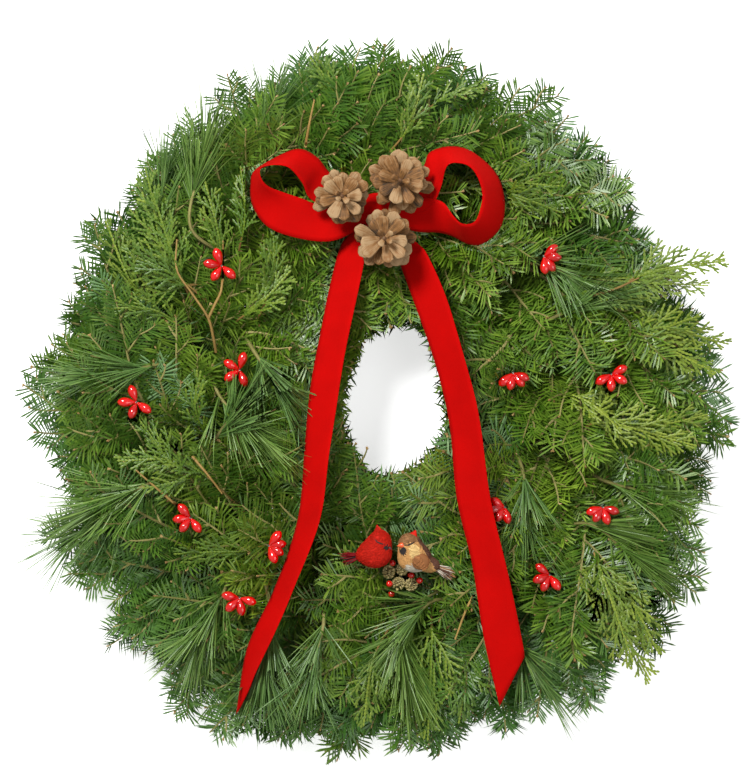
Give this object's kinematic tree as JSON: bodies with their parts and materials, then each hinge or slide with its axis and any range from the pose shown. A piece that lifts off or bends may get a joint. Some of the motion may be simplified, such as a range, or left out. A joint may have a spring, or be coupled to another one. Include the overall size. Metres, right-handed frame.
{
  "type": "fresh evergreen wreath",
  "caption": "Round evergreen wreath of fir, pine and cedar clamped to a wire ring, with a red velvet bow, pine cones, berries and two small birds; hangs or lies flat round an open middle.",
  "frame": {"origin": "middle of the wreath, on the surface that its back lies on", "axes": "+Z comes out of the wreath's face, +Y points to twelve o'clock (the bow), +X to three o'clock"},
  "size_m": [0.7051, 0.6928, 0.1404],
  "materials": {
    "fir": "matte, dark green needles",
    "pine_needles": "matte, lighter blue-green needles",
    "cedar": "matte, yellow-green scale leaves",
    "velvet": "bright red velvet",
    "berry": "lacquered red",
    "pine_cone": "dry, tan",
    "small_cone": "dry, grey-green",
    "painted_wire": "green painted steel wire",
    "bare_wire": "bare florist wire",
    "red_feather": "brushed red feather",
    "tan_feather": "brushed tan feather",
    "brown_feather": "brushed brown feather",
    "dark_beak": "painted dark grey",
    "orange_beak": "painted orange"
  },
  "bodies": {
    "root": {"berry_cluster_01": "berry", "berry_cluster_02": "berry", "berry_cluster_03": "berry", "berry_cluster_04": "berry", "berry_cluster_05": "berry", "berry_cluster_06": "berry", "berry_cluster_07": "berry", "berry_cluster_08": "berry", "berry_cluster_09": "berry", "berry_cluster_10": "berry", "berry_cluster_11": "berry", "berry_cluster_12": "berry", "bow_ribbon": "velvet", "bow_wire": "bare_wire", "cedar_frond_1": "cedar", "cedar_frond_2": "cedar", "cedar_frond_3": "cedar", "cedar_frond_4": "cedar", "cedar_frond_5": "cedar", "cedar_frond_6": "cedar", "cedar_frond_7": "cedar", "cedar_frond_8": "cedar", "fir_bunch_01": "fir", "fir_bunch_02": "fir", "fir_bunch_03": "fir", "fir_bunch_04": "fir", "fir_bunch_05": "fir", "fir_bunch_06": "fir", "fir_bunch_07": "fir", "fir_bunch_08": "fir", "fir_bunch_09": "fir", "fir_bunch_10": "fir", "fir_bunch_11": "fir", "fir_bunch_12": "fir", "pine_cone_left": "pine_cone", "pine_cone_lower": "pine_cone", "pine_cone_right": "pine_cone", "pine_spray_1": "pine_needles", "pine_spray_2": "pine_needles", "pine_spray_3": "pine_needles", "pine_spray_4": "pine_needles", "pine_spray_5": "pine_needles", "pine_spray_6": "pine_needles", "pine_spray_7": "pine_needles", "pine_spray_8": "pine_needles", "pine_spray_9": "pine_needles", "red_bird": "red_feather", "red_bird_beak": "dark_beak", "round_berry_pick": "berry", "small_cone_pick": "small_cone", "tan_bird": "tan_feather", "tan_bird_beak": "orange_beak", "tan_bird_crest": "red_feather", "tan_bird_wing": "brown_feather", "wire_ring": "painted_wire"}
  },
  "joints": []
}
